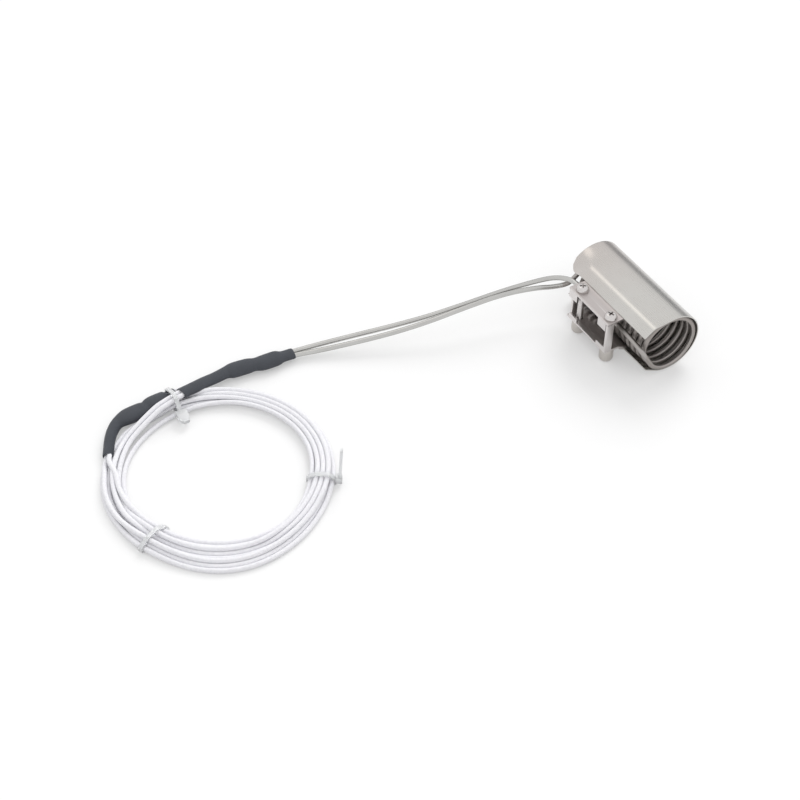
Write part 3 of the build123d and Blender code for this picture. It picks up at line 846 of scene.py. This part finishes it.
def lane_target(name, k):
    """Distance from the centre and height that this wire tends to at station k."""
    degrees = k * 360 / stations_a_turn
    first, last, first_lane, second_lane = wound[name]
    second = between(k - first, 30, 36)
    lane = first_lane + (second_lane - first_lane) * second
    inner = lane_place(inner_lane, degrees)
    outer = lane_place(outer_lane, degrees)
    r = inner + lane * (outer - inner)
    r += waver * math.sin(k * waver_pace + waver_shift * lane) * (1 - near_tie(degrees))
    crowded = 1 - between(outer - inner, tight_width, loose_width)
    z = floor_height + wire_radius + 2 * wire_radius * (1 - second) * crowded
    on_top = between(degrees % 360, 80, 115) * (1 - between(degrees % 360, 150, 200))
    z += top_lift * on_top * (0.4 + 0.6 * (1 - lane))
    start_r, lift, r_from, r_to, z_from, z_to = entry[name]
    r += (start_r - r) * (1 - between(degrees, r_from, r_to))
    z += lift * (1 - between(degrees, z_from, z_to))
    return [r, z]


spots = {}
for name, (first, last, *lanes) in wound.items():
    for k in range(first, last + 1):
        spots[name, k] = lane_target(name, k)
for sweep in range(sweeps):
    for (name, k), spot in spots.items():
        goal = lane_target(name, k)
        before = spots.get((name, k - 1), spot)
        after = spots.get((name, k + 1), spot)
        for axis, pull in enumerate(pulls):
            spot[axis] += pull * (goal[axis] - spot[axis])
            spot[axis] += stiffness * ((before[axis] + after[axis]) / 2 - spot[axis])
        spot[1] -= sag
    for push in range(3):
        for station in range(stations_a_turn):
            here = [spot for (name, k), spot in spots.items() if k % stations_a_turn == station]
            low = floor_height + wire_radius + strap_lift * near_tie(station * 360 / stations_a_turn)
            for i, a in enumerate(here):
                for b in here[i + 1:]:
                    across = b[0] - a[0]
                    rise = b[1] - a[1]
                    gap = max(math.hypot(across, rise), 1e-6)
                    if gap < apart:
                        move = (apart - gap) / 2 / gap
                        a[0] -= across * move
                        a[1] -= rise * move
                        b[0] += across * move
                        b[1] += rise * move
            for a in here:
                a[1] = max(a[1], low)
wire_lines = {}
for name, (first, last, *lanes) in wound.items():
    route = list(wire_starts[name])
    for k in range(first, last + 1):
        r, z = spots[name, k]
        a = 2 * math.pi * k / stations_a_turn
        route.append((ring_centre.x + r * math.cos(a), ring_centre.y + r * math.sin(a), z))
    wire_lines[name] = smooth_line(route + wire_ends[name], 4)

# Cable ties: three clear nylon ties, each drawn tight round the bundle. The first also holds the second
# sleeve's end and has its head inside the ring; the second has its head and a long tail that stands up
# outside; of the third a short end shows, inside at the floor.
tie_half_width = 0.00095
tie_thickness = 0.0008
tie_slack = 0.00008
# The second sleeve's end in the first tie, as two circles: their places off its middle and their radius.
held_sleeve_off = 0.0011
held_sleeve_radius = 0.00185
# Each head or tail: the side of the bundle that it is on, its place out from there and up, its depth,
# length and half width, the share of them that is left at its tip, and its slope in degrees.
tie_ends = (
    [("inner", 0.0004, 0.0, 0.0022, 0.0066, 0.0024, 0.72, 186)],
    [
        ("outer", 0.0016, -0.0012, 0.0026, 0.0034, 0.0016, 0.9, 90),
        ("outer", 0.0018, -0.0012, 0.0012, 0.0185, 0.0012, 0.9, 86),
    ],
    [("inner foot", -0.0010, 0.0004, 0.0012, 0.0014, 0.0010, 0.85, 90)],
)
strap_section = ((0.0, -0.9), (0.15, -1.0), (0.85, -1.0), (1.0, -0.88))
strap_section += tuple((off, -along) for off, along in reversed(strap_section))
bar_section = ((-0.5, -0.85), (-0.4, -1.0), (0.4, -1.0), (0.5, -0.85))
bar_section += tuple((across, -along) for across, along in reversed(bar_section))


def crossings(line, degrees):
    """Distance from the centre and height of each place where a line passes this angle."""
    a = math.radians(degrees)
    out = Vector((math.cos(a), math.sin(a), 0))
    ahead = Vector((-math.sin(a), math.cos(a), 0))
    found = []
    for p, q in zip(line, line[1:]):
        before = (p - ring_centre).dot(ahead)
        after = (q - ring_centre).dot(ahead)
        if before * after <= 0 and (p - ring_centre).dot(out) > 0 and before != after:
            at = p.lerp(q, before / (before - after))
            found.append(((at - ring_centre).dot(out), at.z))
    return found


def tie_mesh(name, degrees, held, ends):
    """Strap drawn round the held circles (distance, height, radius), with its head and cut tail."""
    a = math.radians(degrees)
    out = Vector((math.cos(a), math.sin(a), 0))
    ahead = Vector((-math.sin(a), math.cos(a), 0))
    bm = bmesh.new()

    def spot(r, z, along):
        return bm.verts.new(ring_centre + out * r + ahead * along + Vector((0, 0, z)))

    loops = []
    for i in range(96):
        phi = 2 * math.pi * i / 96
        nr, nz = math.cos(phi), math.sin(phi)
        r, z, radius = max(held, key=lambda c: c[0] * nr + c[1] * nz + c[2])
        section = []
        for off, along in strap_section:
            reach = radius + tie_slack + off * tie_thickness
            low = floor_height + 0.00002 * (1 - off)
            section.append(spot(r + nr * reach, max(z + nz * reach, low), along * tie_half_width))
        loops.append(section)
    for i in range(len(loops)):
        bridge(bm, loops[i - 1], loops[i])

    inner = min(c[0] - c[2] for c in held) - tie_slack
    outer = max(c[0] + c[2] for c in held) + tie_slack
    middle = sum(c[1] for c in held) / len(held)
    sides = {"inner": (inner, middle), "outer": (outer, middle), "inner foot": (inner, floor_height)}
    for side, off, up, depth, length, half_width, tip, slope in ends:
        start_r, start_z = sides[side]
        t = math.radians(slope)
        rows = []
        for share, narrow in ((0.0, 0.8), (0.04, 1.0), (0.5, 1.0), (0.93, tip), (1.0, tip * 0.75)):
            row = []
            for across, along in bar_section:
                s = share * length
                w = across * depth * (0.5 + 0.5 * narrow)
                r = start_r + off + math.cos(t) * s - math.sin(t) * w
                z = start_z + up + math.sin(t) * s + math.cos(t) * w
                row.append(spot(r, z, along * half_width * narrow))
            rows.append(row)
        for near, far in zip(rows, rows[1:]):
            bridge(bm, near, far)
        bm.faces.new(rows[0])
        bm.faces.new(rows[-1])
    return smoothed_mesh(name, bm, 40)


nylon, shader, channel = finish("clear nylon tie", Metallic=0.0, Transmission_Weight=0.5, IOR=1.45)
place = channel.add("ShaderNodeTexCoord", output="Object")
cloud = channel.add("ShaderNodeTexNoise", values={"Vector": place, "Scale": 350.0, "Detail": 2.0})
channel.feed(shader, "Base Color", cloud.blend((0.88, 0.89, 0.90, 1), (0.95, 0.955, 0.96, 1)))
channel.feed(shader, "Roughness", 0.32 + cloud * 0.14)
roughen(channel, shader, cloud, 0.15, 0.0001)
tie_pieces = []
for i, degrees in enumerate(tie_angles):
    held = []
    for line in wire_lines.values():
        held += [(r, z, wire_radius) for r, z in crossings(line, degrees)]
    if i == 0:
        sleeve_line = [Vector(row[:3]) for row in eased(shrink_sections[1], 5)]
        for r, z in crossings(sleeve_line, degrees):
            held += [(r + off, z, held_sleeve_radius) for off in (-held_sleeve_off, held_sleeve_off)]
    name = f"cable_tie_{i + 1}"
    mesh = tie_mesh(name + "_dressed", degrees, held, tie_ends[i])
    piece = place_piece(name + "_dressed", mesh, nylon)
    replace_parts(piece, name)
    tie_pieces.append(piece)

# The wires' braid: white fibreglass, varnished, woven over each wire from right-hand and left-hand
# strands. Each wire's piece follows its line through the ring, from crimp to end.
braid, shader, channel = finish("white fibreglass braid", Metallic=0.0, Sheen_Weight=0.2)
wrap = channel.add("ShaderNodeTexCoord", output="UV")
around = channel.add("ShaderNodeSeparateXYZ", values={0: wrap}, output=0)
along_wire = channel.add("ShaderNodeSeparateXYZ", values={0: wrap}, output=1)
place = channel.add("ShaderNodeTexCoord", output="Object")
strands_round = 8.0
strands_a_metre = 1100.0
round_phase = around * (2 * math.pi * strands_round)
along_phase = along_wire * (2 * math.pi * strands_a_metre)
right_hand = channel.maths("SINE", round_phase + along_phase, 0.0)
left_hand = channel.maths("SINE", round_phase - along_phase, 0.0)
weave = channel.maths("MAXIMUM", right_hand, left_hand) * 0.5 + 0.5
soiled = channel.add("ShaderNodeTexNoise", values={"Vector": place, "Scale": 120.0, "Detail": 3.0})
mottle = channel.add("ShaderNodeTexNoise", values={"Vector": place, "Scale": 1100.0, "Detail": 3.0})
tufts = channel.add("ShaderNodeMapRange", values={0: mottle, 1: 0.35, 2: 0.65, 3: 0.0, 4: 1.0})
thread_colour = (weave * 0.5 + tufts * 0.5).blend((0.74, 0.735, 0.775, 1), (0.90, 0.90, 0.92, 1))
channel.feed(shader, "Base Color", (soiled * 0.3).blend(thread_colour, (0.80, 0.79, 0.84, 1)))
channel.feed(shader, "Roughness", 0.62 - weave * 0.12)
roughen(channel, shader, weave + mottle * 1.5, 0.6, 0.00015)
# Length, far end, the pieces at that end and the CAD nodes that the wire stands for.
wire_plan = {
    "wire_1": (
        0.610, "connector", [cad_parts["crimp_3"], shrink_pieces[1]],
        ["wire_1_start", "wire_1_end", "wound_wires"],
    ),
    "wire_2": (0.582, "connector", [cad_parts["crimp_4"]] + tie_pieces, ["wire_2_start", "wire_2_end"]),
    "wire_3": (0.547, "bare", [], ["wire_3_start"]),
    "wire_4": (0.475, "bare", [], ["wire_4_start"]),
}
for name, (length, far_end_kind, pieces, nodes) in wire_plan.items():
    line = wire_lines[name]
    piece = place_piece(name, tube_mesh(name, line, wire_radius, 14), braid)
    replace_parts(piece, *nodes)

# Cold leads: the heater tube's two unheated ends, bent by hand into one long sweep to the first sleeve.
# Drawn steel sheath, bright, with fine marks along it.
lead_routes = {
    "cold_lead_1": [
        (-0.046, -0.01525, 0.0039),
        (-0.0496, -0.015274, 0.003936),
        (-0.0534, -0.0172, 0.0041),
        (-0.0568, -0.0219, 0.0041),
        (-0.0592, -0.0294, 0.0034),
        (-0.0626, -0.0435, 0.0017),
        (-0.0659, -0.0622, -0.0008),
        (-0.0696, -0.0782, -0.0035),
        (-0.0745, -0.0935, -0.0061),
        (-0.0796, -0.1086, -0.0084),
        (-0.0843, -0.124, -0.0104),
        (-0.08715, -0.1359, -0.0116),
        (-0.08745, -0.1409, -0.0114),
        (-0.0879, -0.1432, -0.01122),
        (-0.08807, -0.14595, -0.0112),
    ],
    "cold_lead_2": [
        (-0.0538, -0.0189, 0.0006),
        (-0.0549, -0.02264, 0.0003),
        (-0.0569, -0.0309, 0.0019),
        (-0.0604, -0.046, 0.0021),
        (-0.0634, -0.0635, -0.0003),
        (-0.0666, -0.08, -0.0036),
        (-0.0713, -0.0955, -0.0069),
        (-0.0764, -0.1107, -0.0092),
        (-0.0812, -0.1246, -0.0111),
        (-0.08485, -0.1361, -0.0116),
        (-0.08515, -0.1411, -0.0114),
        (-0.08475, -0.1456, -0.0112),
        (-0.08475, -0.1498, -0.0112),
        (-0.0867, -0.1547, -0.0112),
        (-0.08717, -0.159, -0.0112),
    ],
}
lead_steel, shader, channel = finish("drawn lead sheath", Metallic=1.0)
wrap = channel.add("ShaderNodeTexCoord", output="UV")
drawn_place = channel.add("ShaderNodeMapping", values={"Vector": wrap, "Scale": (60.0, 90.0, 1.0)})
drawn = channel.add("ShaderNodeTexNoise", values={"Vector": drawn_place, "Scale": 1.0, "Detail": 4.0})
place = channel.add("ShaderNodeTexCoord", output="Object")
cloud = channel.add("ShaderNodeTexNoise", values={"Vector": place, "Scale": 90.0, "Detail": 3.0})
channel.feed(shader, "Base Color", cloud.blend((0.45, 0.445, 0.435, 1), (0.58, 0.575, 0.56, 1)))
channel.feed(shader, "Roughness", 0.17 + drawn * 0.12)
roughen(channel, shader, drawn, 0.1, 0.00004)
for i, (name, route) in enumerate(lead_routes.items()):
    line = smooth_line(route, 8)
    mesh = tube_mesh(name + "_dressed", line, tube_radius, 24)
    piece = place_piece(name + "_dressed", mesh, lead_steel)
    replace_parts(piece, name)
    pieces = [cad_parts[f"crimp_{i + 1}"]] + ([shrink_pieces[0]] if i == 0 else [])

# Table, lights and camera: a plain white table that keeps the shadows, in a white room with one soft
# lamp. Only the metal sees the boards: a darker far side of the room, and a bright window above.
room_corners = ((-3.4, 0.9), (-3.0, 3.0), (0.5, 3.4))
dark_from = 0.21
board_gap = 0.0002
wall_foot = -0.02
wall_top = 1.15
dark_shade = (0.38, 0.385, 0.395, 1)
window_shade = (1.6, 1.57, 1.52, 1)
window_direction = (-0.61, -0.06, 0.79)
window_distance = 1.2
window_half_size = (0.19, 0.32)
table_shade = (0.6, 0.6, 0.6, 1)
table_glow = 0.305
room_light = 0.95
lamp_direction = (0.5, -0.65, -0.62)
lamp_spread = math.radians(36)
lamp_strength = 1.35
camera_place = (0.3415, -0.330, 0.4325)
camera_turn = (math.radians(90 - 45.34), 0, math.radians(59.96))
camera_angle = math.radians(30.0)


def emptied(owner):
    """An empty channel in the emptied node tree of a material or the world."""
    owner.use_nodes = True
    owner.node_tree.nodes.clear()
    return Channel(owner.node_tree)


def straight_rays(channel):
    """1 for rays that show the room itself, seen, mirrored or through nylon, and 0 for its light."""
    seen = channel.add("ShaderNodeLightPath", output="Is Camera Ray")
    mirrored = channel.add("ShaderNodeLightPath", output="Is Glossy Ray")
    through = channel.add("ShaderNodeLightPath", output="Is Transmission Ray")
    return channel.maths("MAXIMUM", channel.maths("MAXIMUM", seen, mirrored), through)


bm = bmesh.new()
bmesh.ops.create_circle(bm, cap_ends=True, segments=96, radius=4.0)
mesh = bpy.data.meshes.new("table")
bm.to_mesh(mesh)
bm.free()
mesh.transform(Matrix.Translation((0, 0, floor_height)))
table = put_in_scene("table", mesh)
table_white = bpy.data.materials.new("white table")
channel = emptied(table_white)
strength = straight_rays(channel) * table_glow
glow = channel.add("ShaderNodeEmission", values={"Color": (1, 1, 1, 1), "Strength": strength})
paint = channel.add("ShaderNodeBsdfDiffuse", values={"Color": table_shade})
both = channel.add("ShaderNodeAddShader", values={0: glow, 1: paint})
channel.add("ShaderNodeOutputMaterial", values={"Surface": both})
mesh.materials.append(table_white)


def reflected_board(name, corners, shade):
    """A plain board that only the metal sees."""
    mesh = bpy.data.meshes.new(name)
    mesh.from_pydata(corners, [], [range(len(corners))])
    board = put_in_scene(name, mesh)
    board.visible_camera = False
    board.visible_diffuse = False
    board.visible_shadow = False
    board.visible_transmission = False
    material = bpy.data.materials.new(name)
    channel = emptied(material)
    glow = channel.add("ShaderNodeEmission", values={"Color": shade, "Strength": 1.0})
    channel.add("ShaderNodeOutputMaterial", values={"Surface": glow})
    mesh.materials.append(material)
    return board


def wall(name, left, right):
    """An upright board between two corners of the room."""
    corners = [(*left, wall_foot), (*right, wall_foot), (*right, wall_top), (*left, wall_top)]
    return reflected_board(name, corners, dark_shade)


dark_floor = [(0.5, dark_from), (-0.4, dark_from), *room_corners]
dark_board = reflected_board(
    "dark board", [(x, y, floor_height + board_gap) for x, y in dark_floor], dark_shade
)
low_wall = wall("low wall", room_corners[0], room_corners[1])
side_wall = wall("side wall", room_corners[1], room_corners[2])
bright_at = Vector(window_direction).normalized() * window_distance
across = bright_at.cross(Vector((0, 0, 1))).normalized() * window_half_size[0]
upward = across.cross(bright_at).normalized() * window_half_size[1]
bright_board = reflected_board(
    "bright board",
    [bright_at + across * i + upward * k for i, k in ((-1, -1), (1, -1), (1, 1), (-1, 1))],
    window_shade,
)

world = bpy.data.worlds.new("room")
bpy.context.scene.world = world
channel = emptied(world)
strength = straight_rays(channel) * (1 - room_light) + room_light
sky = channel.add("ShaderNodeBackground", values={"Color": (1, 1, 1, 1), "Strength": strength})
channel.add("ShaderNodeOutputWorld", values={"Surface": sky})

lamp_data = bpy.data.lights.new("window light", "SUN")
lamp_data.angle = lamp_spread
lamp_data.energy = lamp_strength
lamp = put_in_scene("window light", lamp_data)
lamp.rotation_mode = "QUATERNION"
lamp.rotation_quaternion = Vector(lamp_direction).to_track_quat("-Z", "Y")
lamp.visible_glossy = False

camera_data = bpy.data.cameras.new("camera")
camera_data.sensor_fit = "HORIZONTAL"
camera_data.angle = camera_angle
camera = put_in_scene("camera", camera_data)
camera.location = camera_place
camera.rotation_euler = camera_turn
bpy.context.scene.camera = camera
bpy.context.scene.view_settings.view_transform = "Standard"
